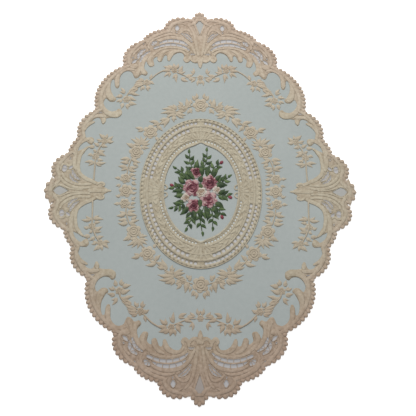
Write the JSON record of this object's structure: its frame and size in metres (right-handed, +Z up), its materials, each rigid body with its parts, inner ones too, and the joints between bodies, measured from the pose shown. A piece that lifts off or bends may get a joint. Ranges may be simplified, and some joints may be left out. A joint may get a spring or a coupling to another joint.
{
  "type": "lace doily",
  "caption": "Flat oval embroidered cloth with a scalloped picot edge, cut openwork and an oval medallion, laid on a table under a plate or vase.",
  "frame": {"origin": "centre of the underside, on the surface that the cloth lies on", "axes": "+X across the oval to its right tip, +Y along its longer side to its top tip, +Z up out of the embroidered face"},
  "size_m": [0.3, 0.4, 0.002],
  "materials": {
    "embroidered cloth": "matt plain weave with satin stitch embroidery"
  },
  "bodies": {
    "root": {"doily": "embroidered cloth"}
  },
  "joints": []
}
